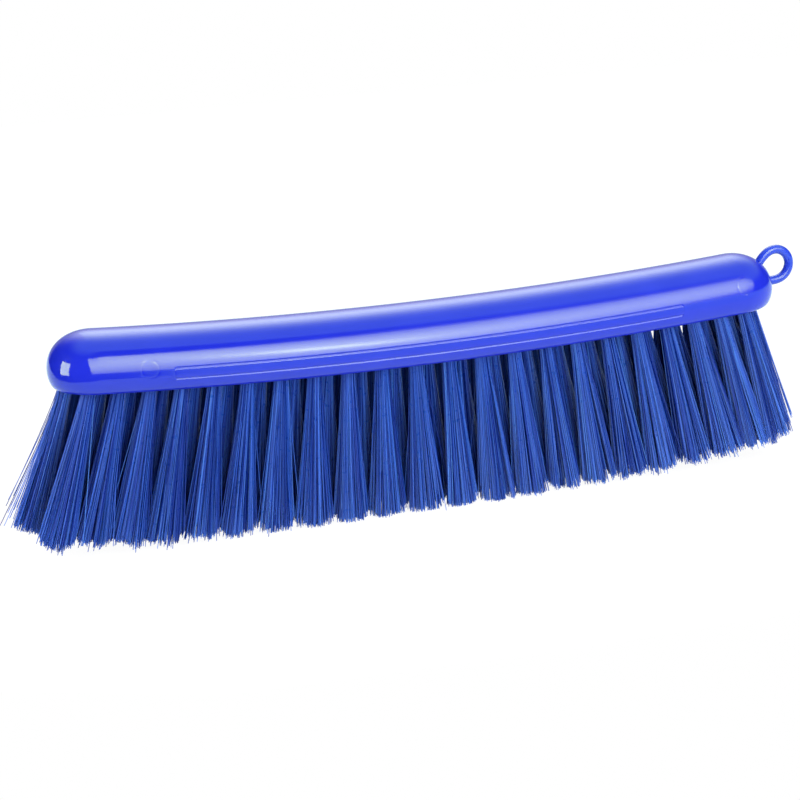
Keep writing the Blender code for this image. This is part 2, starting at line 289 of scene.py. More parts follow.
# The dim room: its ceiling, its walls high on the right, and what lies low on the right
CEILING_SPAN = (62.5, 66.0)
CEILING_BLUR = 13.0             # how much softer the ceiling's edge is on the left
CEILING_BLUR_SPAN = (-5.0, 30.0)
CEILING_LEVEL = 1.15
RIGHT_WALL_SPAN = (28.0, 46.0)
RIGHT_WALL_LEVEL = 1.05
WALL_SPAN = (20.0, 40.0)
LOW_ROOM_TOP = 2.0
LOW_ROOM_SOFT = 6.0
LOW_ROOM_SPAN = (8.5, 11.5)
LOW_ROOM_LEVEL = 1.4

# The floor: its corners, cut back in front and on the left, where the block mirrors a dark room,
# its glow to the camera and its look in mirrors
FLOOR_OUTLINE = ((-0.90, 1.2), (-0.46, 0.188), (-0.347, 0.07), (-0.291, -0.026), (-0.214, -0.117),
                 (-0.12, -0.160), (0.0, -0.170), (0.9, -0.170), (0.9, 1.2))
FLOOR_FADE = (0.20, 0.60)       # distances over which the glow turns white
FLOOR_GLOW = (0.955, 1.0)
SHADOW_GREY = (0.10, 0.10, 0.10, 1)
FLOOR_GREY = (0.8, 0.8, 0.8, 1)
FLOOR_COLOUR = (0.80, 1.0, 1.0, 1)
FLOOR_MIRRORED_LEVEL = 1.42

# The lamps: name, azimuth and elevation in degrees, distance, size and power
LAMP_AIM = (0, 0, 0.05)
LAMPS = (("key", 32, 30, 1.2, (0.8, 0.8), 12.9),
         ("low_front", 10, 1, 1.2, (1.2, 0.4), 8.5),
         ("top_back", 160, 50, 1.2, (1.2, 0.9), 9),
         ("fill", -60, 20, 1.3, (1.0, 1.0), 4.4),
         ("left", -85, 22, 1.2, (0.8, 0.8), 8.8))

# The small card that the left dome mirrors, close to the brush
CARD_AIM = (-0.1455, -0.0104, 0.0752)   # the point on the dome that it faces
CARD_AZIMUTH, CARD_ELEVATION = -77, 9.5
CARD_DISTANCE = 0.12
CARD_SIZE = (0.063, 0.083)
CARD_LEVEL = 12.0


def bend(x, y, z):
    """Bend points of the straight block, whose z starts at the widest line, into place."""
    angle = x / BOW_RADIUS
    reach = BOW_RADIUS - z
    return np.stack([reach * np.sin(angle), y + 0 * x,
                     AXIS_HEIGHT + BOW_RADIUS - reach * np.cos(angle)], axis=-1)


def smooth(value, low, high):
    """Rise smoothly from 0 at low to 1 at high."""
    share = np.clip((value - low) / (high - low), 0, 1)
    return share * share * (3 - 2 * share)


def link_object(name, data):
    """Add an object with this data to the scene."""
    item = bpy.data.objects.new(name, data)
    bpy.context.collection.objects.link(item)
    return item


def make_mesh(name, points, faces, material, smooth_shaded=True):
    """Make an object from points and faces."""
    mesh = bpy.data.meshes.new(name)
    mesh.from_pydata([tuple(p) for p in points], [], faces)
    mesh.validate()
    mesh.update()
    if smooth_shaded:
        mesh.shade_smooth()
    mesh.materials.append(material)
    return link_object(name, mesh)


def place(piece, node, slot):
    """Let a piece ride on the brush in place of a node."""
    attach(piece, "root")
    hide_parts(node)


# ---- nodes

class NodeTree:
    """A node tree under construction. All methods but feed add nodes and return an output."""

    def __init__(self, tree):
        self.nodes, self.links = tree.nodes, tree.links

    def feed(self, socket, value):
        """Set a socket to a number or link an output to it."""
        if isinstance(value, (int, float)):
            socket.default_value = value
        else:
            self.links.new(value, socket)

    def maths(self, operation, *values):
        """Calculate with numbers and outputs."""
        node = self.nodes.new("ShaderNodeMath")
        node.operation = operation
        for socket, value in zip(node.inputs, values):
            self.feed(socket, value)
        return node.outputs[0]

    def step(self, source, low, high):
        """Rise smoothly from 0 where the source is low to 1 where it is high."""
        node = self.nodes.new("ShaderNodeMapRange")
        node.interpolation_type = "SMOOTHSTEP"
        self.feed(node.inputs["From Min"], low)
        self.feed(node.inputs["From Max"], high)
        self.links.new(source, node.inputs["Value"])
        return node.outputs["Result"]

    def remap(self, source, span, result):
        """Map a span of the source's values to a span of results."""
        node = self.nodes.new("ShaderNodeMapRange")
        sockets = ("From Min", "From Max", "To Min", "To Max")
        for socket, value in zip(sockets, (*span, *result)):
            node.inputs[socket].default_value = value
        self.links.new(source, node.inputs["Value"])
        return node.outputs["Result"]

    def bell(self, source, middle, width):
        """Square the distance from the middle, in widths."""
        off = self.maths("DIVIDE", self.maths("SUBTRACT", source, middle), width)
        return self.maths("POWER", self.maths("ABSOLUTE", off), 2.0)

    def fall(self, value):
        """Fall from 1 towards 0 as the value grows."""
        return self.maths("EXPONENT", self.maths("MULTIPLY", value, -1.0))

    def product(self, first, *others):
        """Multiply numbers and outputs one after the other."""
        for other in others:
            first = self.maths("MULTIPLY", first, other)
        return first

    def coordinates(self, kind):
        """Give texture coordinates of one kind."""
        return self.nodes.new("ShaderNodeTexCoord").outputs[kind]

    def attribute(self, name):
        """Read a number stored on the mesh."""
        node = self.nodes.new("ShaderNodeAttribute")
        node.attribute_name = name
        return node.outputs["Fac"]

    def noise(self, coordinates, scale, detail=2.0, roughness=0.5):
        """Make a cloudy noise."""
        node = self.nodes.new("ShaderNodeTexNoise")
        node.inputs["Scale"].default_value = scale
        node.inputs["Detail"].default_value = detail
        node.inputs["Roughness"].default_value = roughness
        self.links.new(coordinates, node.inputs["Vector"])
        return node.outputs["Fac"]

    def ramp(self, source, stops):
        """Colour a value by a ramp."""
        node = self.nodes.new("ShaderNodeValToRGB")
        elements = node.color_ramp.elements
        while len(elements) < len(stops):
            elements.new(0.5)
        for element, (position, colour) in zip(elements, stops):
            element.position = position
            element.color = colour
        self.links.new(source, node.inputs["Fac"])
        return node.outputs["Color"]

    def background(self, colour, level):
        """Make a background of one colour."""
        node = self.nodes.new("ShaderNodeBackground")
        node.inputs["Color"].default_value = colour
        self.feed(node.inputs["Strength"], level)
        return node.outputs[0]

    def emission(self, colour, level):
        """Make a surface that glows in one colour."""
        node = self.nodes.new("ShaderNodeEmission")
        node.inputs["Color"].default_value = colour
        self.feed(node.inputs["Strength"], level)
        return node.outputs[0]

    def diffuse(self, colour):
        """Make a matt surface of one colour."""
        node = self.nodes.new("ShaderNodeBsdfDiffuse")
        node.inputs["Color"].default_value = colour
        return node.outputs[0]

    def both(self, first, second):
        """Add two shaders."""
        node = self.nodes.new("ShaderNodeAddShader")
        self.links.new(first, node.inputs[0])
        self.links.new(second, node.inputs[1])
        return node.outputs[0]

    def by_ray(self, ray, other, seen):
        """Show the second shader to one kind of ray and the first to all others."""
        node = self.nodes.new("ShaderNodeMixShader")
        self.links.new(self.nodes.new("ShaderNodeLightPath").outputs[ray], node.inputs[0])
        self.links.new(other, node.inputs[1])
        self.links.new(seen, node.inputs[2])
        return node.outputs[0]


# ---- materials

def new_material(name):
    """Make a material: itself, its tree and its shader."""
    material = bpy.data.materials.new(name)
    material.use_nodes = True
    tree = NodeTree(material.node_tree)
    return material, tree, tree.nodes["Principled BSDF"]


def moulded_plastic(name, colours, ripple_strength, grain):
    """Make a glossy blue plastic with a faint ripple and slight changes of gloss and colour."""
    material, tree, shader = new_material(name)
    where = tree.coordinates("Object")
    cloudy = tree.noise(where, CLOUD_SCALE, CLOUD_DETAIL)
    tone = tree.ramp(cloudy, tuple(zip(NOISE_SPAN, colours)))
    tree.links.new(tone, shader.inputs["Base Color"])
    fine = tree.noise(where, grain, GRAIN_DETAIL, GRAIN_ROUGHNESS)
    roughness = tree.remap(fine, NOISE_SPAN, MOULDED_ROUGHNESS)
    tree.links.new(roughness, shader.inputs["Roughness"])
    bump = tree.nodes.new("ShaderNodeBump")
    bump.inputs["Strength"].default_value = ripple_strength
    bump.inputs["Distance"].default_value = RIPPLE_HEIGHT
    tree.links.new(tree.noise(where, RIPPLE_SCALE), bump.inputs["Height"])
    tree.links.new(bump.outputs["Normal"], shader.inputs["Normal"])
    shader.inputs["IOR"].default_value = PLASTIC_IOR
    shader.inputs["Specular Tint"].default_value = MOULDED_GLOSS_TINT
    return material


def filament_plastic():
    """Make a satin blue whose tone changes from filament to filament, with painted shade that
    darkens it and dulls its gloss deep inside.
    """
    material, tree, shader = new_material("bristle_blue_filament")
    tone, shade = tree.attribute("tone"), tree.attribute("shade")
    darkened = tree.nodes.new("ShaderNodeVectorMath")
    darkened.operation = "SCALE"
    tree.links.new(tree.ramp(tone, FILAMENT_COLOURS), darkened.inputs[0])
    tree.links.new(shade, darkened.inputs["Scale"])
    tree.links.new(darkened.outputs[0], shader.inputs["Base Color"])
    # the painted shade also takes gloss away deep inside the brush
    gloss = tree.remap(tree.maths("MULTIPLY", tone, shade), GLOSSY_TONES, FILAMENT_GLOSS)
    tree.links.new(gloss, shader.inputs["Specular IOR Level"])
    fine = tree.noise(tree.coordinates("Object"), FILAMENT_GRAIN)
    roughness = tree.remap(fine, NOISE_SPAN, FILAMENT_ROUGHNESS)
    tree.links.new(roughness, shader.inputs["Roughness"])
    shader.inputs["IOR"].default_value = PLASTIC_IOR
    return material


# ---- the block

def refined(low, high, step, places, reach, fine):
    """Space values from low to high, finely within reach of the given places."""
    values = [low]
    while values[-1] < high - TINY:
        here = values[-1]
        near = min(abs(here - place) for place in places)
        ahead = [place - reach for place in places if place - reach > here + TINY]
        goal = here + (fine if near < reach else step)
        if near >= reach and ahead:
            goal = min(goal, min(ahead) + TINY)
        values.append(min(goal, high))
    return np.array(values)


def groove_depth(x, z):
    """Find the depth of the groove that outlines the panel, a rounded rectangle on the flank."""
    middle = (PANEL_RISE - PANEL_DROP) / 2
    half_tall = (PANEL_RISE + PANEL_DROP) / 2 - PANEL_CORNER
    beyond = np.abs(x) - (PANEL_HALF_LENGTH - PANEL_CORNER)
    above = np.abs(z - middle) - half_tall
    outside = np.hypot(np.maximum(beyond, 0), np.maximum(above, 0))
    inside = np.minimum(np.maximum(beyond, above), 0)
    distance = np.abs(outside + inside - PANEL_CORNER)
    share = np.clip(1 - distance / (GROOVE_WIDTH / 2), 0, 1)
    end_run = smooth(beyond, END_RUN_START * PANEL_CORNER, PANEL_CORNER)
    return GROOVE_DEPTH * share * (1 - (1 - END_RUN_SHARE) * end_run)


def mark_depth(x, y, z):
    """Find the depth of the plain ring marks that the mould leaves on the front."""
    depth = np.zeros_like(z)
    for mark_x, mark_z, radius, deep in MARKS:
        distance = np.abs(np.hypot(x - mark_x, z - mark_z) - radius)
        depth = depth + deep * (1 - smooth(distance, 0, MARK_WIDTH / 2)) * (y < 0)
    return depth


def block_rings():
    """List how far along each ring of the block lies and its share of the full section."""
    straight = BLOCK_LENGTH / 2 - DOME_LENGTH
    places = (-PANEL_HALF_LENGTH, PANEL_HALF_LENGTH)
    middle = refined(-straight, straight, COARSE_STATION, places, 2 * PANEL_CORNER, FINE_STATION)
    for mark_x, _, radius, _ in MARKS:
        reach = MARK_MARGIN * radius
        count = int(reach / FINE_STATION)
        middle = np.concatenate([middle, mark_x + np.linspace(-reach, reach, count)])
    middle = np.unique(middle[np.abs(middle) <= straight].round(STATION_DIGITS))
    turns = np.linspace(0, math.pi / 2, DOME_RINGS + 1)[1:-1]
    ends = straight + DOME_LENGTH * np.sin(turns)
    left, right = ((1 - np.sin(turns) ** power) ** (1 / power)
                   for power in (LEFT_DOME_POWER, RIGHT_DOME_POWER))
    stations = np.concatenate([-ends[::-1], middle, ends])
    shares = np.concatenate([left[::-1], np.ones(len(middle)), right])
    return stations, shares


def section_angles():
    """Space the angles round a section, finely where the grooves and marks lie."""
    heights = refined(-FLANK_DEPTH * FINE_LOW, CROWN_HEIGHT * FINE_HIGH, COARSE_HEIGHT,
                      (PANEL_RISE, -PANEL_DROP), GROOVE_MARGIN * GROOVE_WIDTH, FINE_HEIGHT)
    flank = np.arcsin(heights / CROWN_HEIGHT)
    crown = np.linspace(flank[-1], math.pi - flank[-1], CROWN_POINTS)[1:-1]
    under = np.linspace(math.pi - flank[0], math.tau + flank[0], UNDERSIDE_POINTS)[1:-1]
    return np.concatenate([flank, crown, math.pi - flank[::-1], under])


def block_section(x, share, angles):
    """Lay out one ring of the block, with its grooves, its marks and its flat underside."""
    out = np.stack([np.cos(angles) / HALF_WIDTH, np.sin(angles) / CROWN_HEIGHT])
    out = out / np.linalg.norm(out, axis=0)
    y = -HALF_WIDTH * share * np.cos(angles)
    z = CROWN_HEIGHT * share * np.sin(angles)
    if share == 1.0:
        depth = groove_depth(x, z) + mark_depth(x, y, z)
        y = y + depth * out[0]
        z = z - depth * out[1]
    lowest = FLANK_DEPTH + UNDERSIDE_DROP
    gap = z + lowest
    rounding = UNDERSIDE_ROUNDING ** 2 * np.exp(-(gap / ROUNDING_REACH) ** 2)
    z = -lowest + 0.5 * (gap + np.sqrt(gap ** 2 + rounding))
    return bend(np.full_like(z, x), y, z)


def eye_seam(points):
    """Find the depth of the seam round each leg of the eye where it enters the block."""
    path = np.array([eye_path(turn) for turn in np.linspace(0, math.tau, EYE_TURNS)])
    distance = np.full(len(points), np.inf)
    near = points[:, 0] > (BLOCK_LENGTH / 2 - DOME_LENGTH)
    gaps = np.linalg.norm(points[near][:, None] - path[None], axis=2)
    distance[near] = gaps.min(1) - EYE_WIRE
    return SEAM_DEPTH * (1 - smooth(distance, *SEAM_SPAN))


def make_block(material):
    """Model the block with its grooves as one fine closed mesh."""
    angles = section_angles()
    rings = np.array([block_section(x, share, angles) for x, share in zip(*block_rings())])
    count, around = rings.shape[:2]
    points = rings.reshape(-1, 3)
    inward = np.array([BLOCK_LENGTH / 2 - DOME_LENGTH, 0, AXIS_HEIGHT]) - points
    inward = inward / np.linalg.norm(inward, axis=1)[:, None]
    vertices = list(points + inward * eye_seam(points)[:, None])
    faces = []
    for near in range(0, (count - 1) * around, around):
        far = near + around
        for j in range(around):
            k = (j + 1) % around
            faces.append((near + j, far + j, far + k, near + k))
    for base, tip in ((0, -BLOCK_LENGTH / 2), ((count - 1) * around, BLOCK_LENGTH / 2)):
        vertices.append(bend(np.array(tip), 0.0, 0.0).reshape(3))
        last = len(vertices) - 1
        for j in range(around):
            k = (j + 1) % around
            faces.append((base + j, base + k, last) if base == 0 else (base + k, base + j, last))
    return make_mesh("block_body", vertices, faces, material)


# ---- the eye

def flat_way(turn):
    """Point along a turn in the plane of the eye."""
    return np.array([math.cos(turn), 0, math.sin(turn)])


def eye_path(turn):
    """Find a point on the middle line of the eye's wire."""
    tip = bend(np.array(BLOCK_LENGTH / 2), 0.0, 0.0).reshape(3)
    centre = tip + np.array([EYE_REACH, 0, EYE_RISE])
    outward, inward = flat_way(turn), flat_way(EYE_ROOT)
    swell = EYE_SINK * max(outward @ inward, 0.0) ** 2
    return centre + outward * EYE_RING + inward * swell


def make_eye(material):
    """Model the ring of the hanging eye as a fine closed mesh."""
    wire = np.linspace(0, math.tau, EYE_SIDES + 1)[:-1]
    points = []
    for turn in np.linspace(0, math.tau, EYE_TURNS + 1)[:-1]:
        for angle in wire:
            side = flat_way(turn) * math.cos(angle) + np.array([0, math.sin(angle), 0])
            points.append(eye_path(turn) + side * EYE_WIRE)
    faces = []
    for i in range(EYE_TURNS):
        near, far = i * EYE_SIDES, (i + 1) % EYE_TURNS * EYE_SIDES
        for j in range(EYE_SIDES):
            k = (j + 1) % EYE_SIDES
            faces.append((near + j, near + k, far + k, far + j))
    return make_mesh("eye_ring", points, faces, material)


# ---- the tufts

def row_place(step):
    """Find how far along the block a step of a row lies."""
    share = step / ((LONG_ROW - 1) / 2)
    return (BLOCK_LENGTH / 2 - END_MARGIN) * ((1 + CROWDING) * share - CROWDING * share ** 3)


def tuft_frame(step, row):
    """Find the origin and axes of a tuft: its Z points back into the block."""
    x = row_place(step)
    mouth = bend(np.array(x), row * ROW_SPACING, -FLANK_DEPTH).reshape(3)
    turn = Matrix.Rotation(-x / FAN_RADIUS, 3, "Y") @ Matrix.Rotation(row * ROW_LEAN, 3, "X")
    return mouth, np.array(turn)


def is_leftmost(step, row):
    """Tell whether a tuft is the first one of the middle row."""
    return row == 0 and step < -END_STEP


def trim_height(x):
    """Find how high over the floor the trimmed tips end."""
    curve = TRIM_RADIUS - np.sqrt(TRIM_RADIUS ** 2 - x ** 2) - FLAT_CUT
    curve = np.maximum(curve, 0.0) * np.where(x < 0, LEFT_TRIM_SHARE, RIGHT_TRIM_SHARE)
    rise = LEFT_TIPS_RISE * smooth(-x, *LEFT_RISE_SPAN)
    rise = rise + RIGHT_TIPS_RISE * smooth(x, *RIGHT_RISE_SPAN)
    return curve + np.interp(x, *np.transpose(UNEVEN_TRIM)) + rise


def tuft_roots(random):
    """Spread roots over a socket in clumps: places, distances from its middle and clumps."""
    index = np.arange(FILAMENTS)
    radius = TUFT_RADIUS * np.sqrt((index + 0.5) / FILAMENTS)
    angle = index * GOLDEN_ANGLE + random.uniform(0, math.tau)
    root = np.stack([radius * np.cos(angle), radius * np.sin(angle)], axis=1)
    seeds = root[random.choice(FILAMENTS, CLUMPS, replace=False)]
    clump = np.argmin(((root[:, None] - seeds[None]) ** 2).sum(-1), axis=1)
    return root, radius, clump


def tuft_drift(step, row, random):
    """Find how far each clump of a tuft drifts along and across the brush."""
    drift = random.normal(0, CLUMP_DRIFT, (CLUMPS, 2))
    end_drift = LEFT_END_DRIFT if step < 0 else RIGHT_END_DRIFT
    drift[:, 0] += end_drift * smooth(abs(step), *END_DRIFT_SPAN)
    if is_leftmost(step, row):
        drift[:, 0] += LEFTMOST_DRIFT
    elif step <= END_STEP:
        drift[:, 0] += WAVER * math.sin(WAVER_TURNS[0] * step + WAVER_TURNS[1] * row)
    return drift


def tuft_tips(root, clump, step, row, random):
    """Spread the tips of a tuft, as places across its axes one bristle length down."""
    centre = np.array([root[clump == k].mean(0) for k in range(CLUMPS)])
    spread = np.array([SPREAD_ALONG, SPREAD_ACROSS]) / TUFT_RADIUS
    drift = tuft_drift(step, row, random)
    tight = random.uniform(*TIGHTNESS, CLUMPS)[clump, None]
    tip = centre[clump] * spread + drift[clump] + (root - centre[clump]) * spread * tight
    tip = tip + random.normal(0, TIP_SCATTER, (FILAMENTS, 2))
    luck = random.random(FILAMENTS)
    wild_reach = LEFTMOST_WILD_REACH if is_leftmost(step, row) else WILD_REACH
    for share, reach in ((LOOSE_SHARE, LOOSE_REACH), (WILD_SHARE, wild_reach)):
        reach = np.where(luck < share, reach, 0.0)[:, None]
        tip = tip + random.normal(0, 1.0, (FILAMENTS, 2)) * reach
    lean = row * (ROW_SPACING + BRISTLE_LENGTH * math.sin(ROW_LEAN))
    tip[:, 1] = np.clip(tip[:, 1], -WIDEST_SPREAD - lean, WIDEST_SPREAD - lean)
    return tip


def tuft_trim(root, radius, clump, step, row, random):
    """Find how much shorter each filament of a tuft is than the trim."""
    low = 0.0 if step < -END_STEP else -1.0
    high = 0.0 if step > END_STEP else 1.0
    beside = np.clip(root[:, 0] / TUFT_RADIUS, low, high)
    slant = TRIM_SLANT * math.sin(SLANT_TURNS[0] * step + SLANT_TURNS[1] * row)
    short = random.uniform(*CLUMP_TRIM, CLUMPS)[clump] + random.normal(0, TRIM_SCATTER, FILAMENTS)
    short = short + RIM_TRIM * (radius / TUFT_RADIUS) ** RIM_POWER
    short = short + NOTCH_DEPTH * beside ** NOTCH_POWER + slant * beside
    broken = random.random(FILAMENTS) < BROKEN_SHARE
    return short + np.where(broken, random.uniform(*BROKEN_TRIM, FILAMENTS), 0.0)


def trimmed_length(origin, axes, root, tip, short):
    """Find how far down its tuft each filament reaches before it meets the trim."""
    down = np.full(FILAMENTS, -BRISTLE_LENGTH)
    start = origin + (axes @ np.column_stack([root, np.zeros(FILAMENTS)]).T).T
    run = origin + (axes @ np.column_stack([tip, down]).T).T - start
    share = np.ones(FILAMENTS)
    for _ in range(TRIM_ROUNDS):
        here = start + run * share[:, None]
        goal = np.maximum(trim_height(here[:, 0]) + short, LOWEST_TIP)
        share = share + (here[:, 2] - goal) / -run[:, 2]
    return BRISTLE_LENGTH * share


def tuft_tones(root, clump, fraction, step, row, random):
    """Give each filament a tone and a painted shade at every fraction of its length."""
    tone = random.normal(*CLUMP_TONE, CLUMPS)[clump] + random.normal(0, TONE_SCATTER, FILAMENTS)
    # painted light on the leftmost tuft, painted shade on the tufts towards the left end
    if is_leftmost(step, row):
        tone = tone + LEFTMOST_PAINTED_LIGHT
    else:
        tone = tone + LEFT_PAINTED_SHADE * smooth(-step, *LEFT_PAINTED_SHADE_SPAN)
    tone = np.clip(tone, 0, 1)[:, None] + TIP_TONE * smooth(fraction, *TIP_TONE_SPAN)
    if row == 0:
        return tone, np.ones_like(fraction)
    # painted shade: the filaments of the outer rows that face the inside are darker near the root
    outside = smooth(row * root[:, 1] / TUFT_RADIUS, *INNER_SPAN)
    root_shade = INNER_SHADE + (1 - INNER_SHADE) * outside
    shade = 1 - (1 - root_shade)[:, None] * (1 - smooth(fraction, *SHADE_SPAN))
    return tone, shade


def tuft_lines(step, row, random, nudge=0.0):
    """Lay out a tuft's filaments: points along each, the tuft's axes, tones and shades."""
    origin, axes = tuft_frame(step, row)
    if is_leftmost(step, row):
        origin[0] += LEFTMOST_SHIFT
    elif step > END_STEP:
        origin[0] += LAST_SHIFT
    root, radius, clump = tuft_roots(random)
    tip = tuft_tips(root, clump, step, row, random)
    short = tuft_trim(root, radius, clump, step, row, random)
    root[:, 0] += nudge
    down = trimmed_length(origin, axes, root, tip, short)
    z = filament_depths(down)
    fraction = np.clip(-z / BRISTLE_LENGTH, 0, None)
    along = fraction ** (FLARE + (LEFTMOST_FLARE if is_leftmost(step, row) else 0.0))
    bow = random.normal(0, FILAMENT_BOW, (FILAMENTS, 2))
    lateral = root[:, None] + (tip - root)[:, None] * along[..., None]
    lateral = lateral + bow[:, None] * np.sin(math.pi * np.clip(along, 0, 1))[..., None]
    world = origin + np.concatenate([lateral, z[..., None]], axis=-1) @ axes.T
    return world, axes, *tuft_tones(root, clump, fraction, step, row, random)


def filament_depths(down):
    """Space heights along each filament from inside the block to its tip."""
    t = np.linspace(0, 1, STEPS + 1)
    return ROOT_INSIDE - (ROOT_INSIDE + down[:, None]) * t[None]


def stray_lines(random):
    """Lay out the loose filaments that stand off the left end of the brush."""
    origin, axes = tuft_frame(-(LONG_ROW - 1) / 2, 0)
    root_x = STRAY_ROOT + random.uniform(*STRAY_ROOT_SPAN, STRAYS)
    root_y = random.uniform(*STRAY_ROW_SPAN, STRAYS)
    low, high = STRAY_REACH
    reach = low + (high - low) * np.linspace(0, 1, STRAYS) + random.normal(0, STRAY_SCATTER, STRAYS)
    drop = random.uniform(*STRAY_DROP, STRAYS)
    z = filament_depths(drop)
    fraction = np.clip(-z / drop[:, None], 0, 1)
    sideways = root_x[:, None] - reach[:, None] * fraction ** STRAY_FLARE
    t = np.linspace(0, 1, STEPS + 1)
    across = root_y[:, None] + random.normal(0, STRAY_ACROSS, STRAYS)[:, None] * t[None]
    world = origin + np.stack([sideways, across, z], axis=-1) @ axes.T
    tone = np.clip(random.normal(*STRAY_TONE, STRAYS), 0, 1)[:, None] * np.ones_like(z)
    return world, axes, tone, np.ones_like(z)


def tube_faces(count):
    """List the faces of closed tubes, as corners of their rings of points."""
    base = (np.arange(count) * (STEPS + 1) * SIDES)[:, None, None]
    level = (np.arange(STEPS) * SIDES)[None, :, None]
    side = np.arange(SIDES)[None, None]
    a = base + level + side
    b = base + level + (side + 1) % SIDES
    quads = np.stack([a, a + SIDES, b + SIDES, b], axis=-1).reshape(-1, SIDES)
    first = base[:, 0] + np.arange(SIDES)[None]
    last = base[:, 0] + STEPS * SIDES + np.arange(SIDES)[None, ::-1]
    return np.concatenate([quads, first, last]).astype(np.int32)


def filament_mesh(name, tufts, material):
    """Turn the filament lines of one or two tufts into closed tubes in one mesh."""
    turns = np.linspace(0, math.tau, SIDES + 1)[:-1] + TUBE_TURN
    points, tones, shades = [], [], []
    for world, axes, tone, shade in tufts:
        ring = np.cos(turns)[:, None] * axes[:, 0] + np.sin(turns)[:, None] * axes[:, 1]
        ring = FILAMENT_RADIUS * ring
        points.append((world[:, :, None] + ring[None, None]).reshape(-1, 3))
        tones.append(np.repeat(tone.ravel(), SIDES))
        shades.append(np.repeat(shade.ravel(), SIDES))
    points = np.concatenate(points)
    quads = tube_faces(len(points) // ((STEPS + 1) * SIDES))
    mesh = bpy.data.meshes.new(name)
    mesh.vertices.add(len(points))
    mesh.vertices.foreach_set("co", points.astype(np.float32).ravel())
    mesh.loops.add(quads.size)
    mesh.loops.foreach_set("vertex_index", quads.ravel())
    mesh.polygons.add(len(quads))
    mesh.polygons.foreach_set("loop_start", np.arange(0, quads.size, SIDES, dtype=np.int32))
    mesh.polygons.foreach_set("loop_total", np.full(len(quads), SIDES, dtype=np.int32))
    mesh.update(calc_edges=True)
    mesh.validate()
    mesh.shade_smooth()
    mesh.set_sharp_from_angle(angle=SHARP_ANGLE)
    for label, values in (("tone", tones), ("shade", shades)):
        attribute = mesh.attributes.new(label, "FLOAT", "POINT")
        attribute.data.foreach_set("value", np.concatenate(values).astype(np.float32))
    mesh.materials.append(material)
    return link_object(name, mesh)


def row_steps(count):
    """List the steps of a row of tufts."""
    return [index - (count - 1) / 2 for index in range(count)]


def make_tufts(material):
    """Make every tuft in place of its node."""
    for name, row in (("front", -1), ("back", 1)):
        for number, step in enumerate(row_steps(LONG_ROW - 1), start=1):
            random = np.random.default_rng([SEED, row + 1, number])
            lines = [tuft_lines(step, row, random, NUDGES.get((row, number), 0.0))]
            piece = filament_mesh(f"{name}_filaments_{number:02d}", lines, material)
            place(piece, f"{name}_tuft_{number:02d}", "bristle_filament")
    steps = row_steps(LONG_ROW)
    for number, first in enumerate(range(0, LONG_ROW, 2), start=1):
        random = np.random.default_rng([SEED, MIDDLE_SEED, number])
        lines = [tuft_lines(step, 0, random, NUDGES.get((0, first + count), 0.0))
                 for count, step in enumerate(steps[first:first + 2], start=1)]
        if number == 1:
            lines.append(stray_lines(random))
        piece = filament_mesh(f"middle_filaments_{number:02d}", lines, material)
        place(piece, f"middle_tufts_{number:02d}", "bristle_filament")


# ---- surroundings

def make_camera():
    """Set up the camera that the photograph was taken from."""
    right = Vector((math.cos(AZIMUTH), -math.sin(AZIMUTH), 0))
    ahead = Vector((math.sin(AZIMUTH) * math.cos(ELEVATION),
                    math.cos(AZIMUTH) * math.cos(ELEVATION), -math.sin(ELEVATION)))
    up = right.cross(ahead)
    target = right * AIM_RIGHT + up * AIM_UP + Vector((0, 0, AXIS_HEIGHT))
    x_axis = right * math.cos(ROLL) - up * math.sin(ROLL)
    y_axis = right * math.sin(ROLL) + up * math.cos(ROLL)
    data = bpy.data.cameras.new("camera")
    data.sensor_width = SENSOR
    data.sensor_fit = "HORIZONTAL"
    data.lens = FOCAL_PIXELS / FRAME_PIXELS * SENSOR
    data.clip_start, data.clip_end = CLIP_START, CLIP_END
    camera = link_object("camera", data)
    turn = Matrix((x_axis, y_axis, -ahead)).transposed().to_4x4()
    camera.matrix_world = Matrix.Translation(target - ahead * DISTANCE) @ turn
    bpy.context.scene.camera = camera


def way_to(azimuth, elevation):
    """Point towards an azimuth and an elevation, in radians, seen from the brush."""
    return Vector((math.sin(azimuth) * math.cos(elevation),
                   -math.cos(azimuth) * math.cos(elevation), math.sin(elevation)))


def lamp(name, azimuth, elevation, distance, size, power, aim=LAMP_AIM):
    """Add a soft lamp that faces the brush and isn't mirrored in it."""
    data = bpy.data.lights.new(name, "AREA")
    data.shape = "RECTANGLE"
    data.size, data.size_y = size
    data.energy = power
    light = link_object(name, data)
    way = way_to(math.radians(azimuth), math.radians(elevation))
    light.location = way * distance + Vector(aim)
    light.rotation_euler = way.to_track_quat("Z", "Y").to_euler()
    light.visible_glossy = False
    light.visible_camera = False
    return light


def mirrored_card():
    """Add the bright card close to the brush that is only seen mirrored in it."""
    power = CARD_LEVEL * math.pi * CARD_SIZE[0] * CARD_SIZE[1]
    card = lamp("small_card", CARD_AZIMUTH, CARD_ELEVATION, CARD_DISTANCE, CARD_SIZE, power,
                aim=CARD_AIM)
    card.visible_glossy = True
    card.visible_diffuse = False


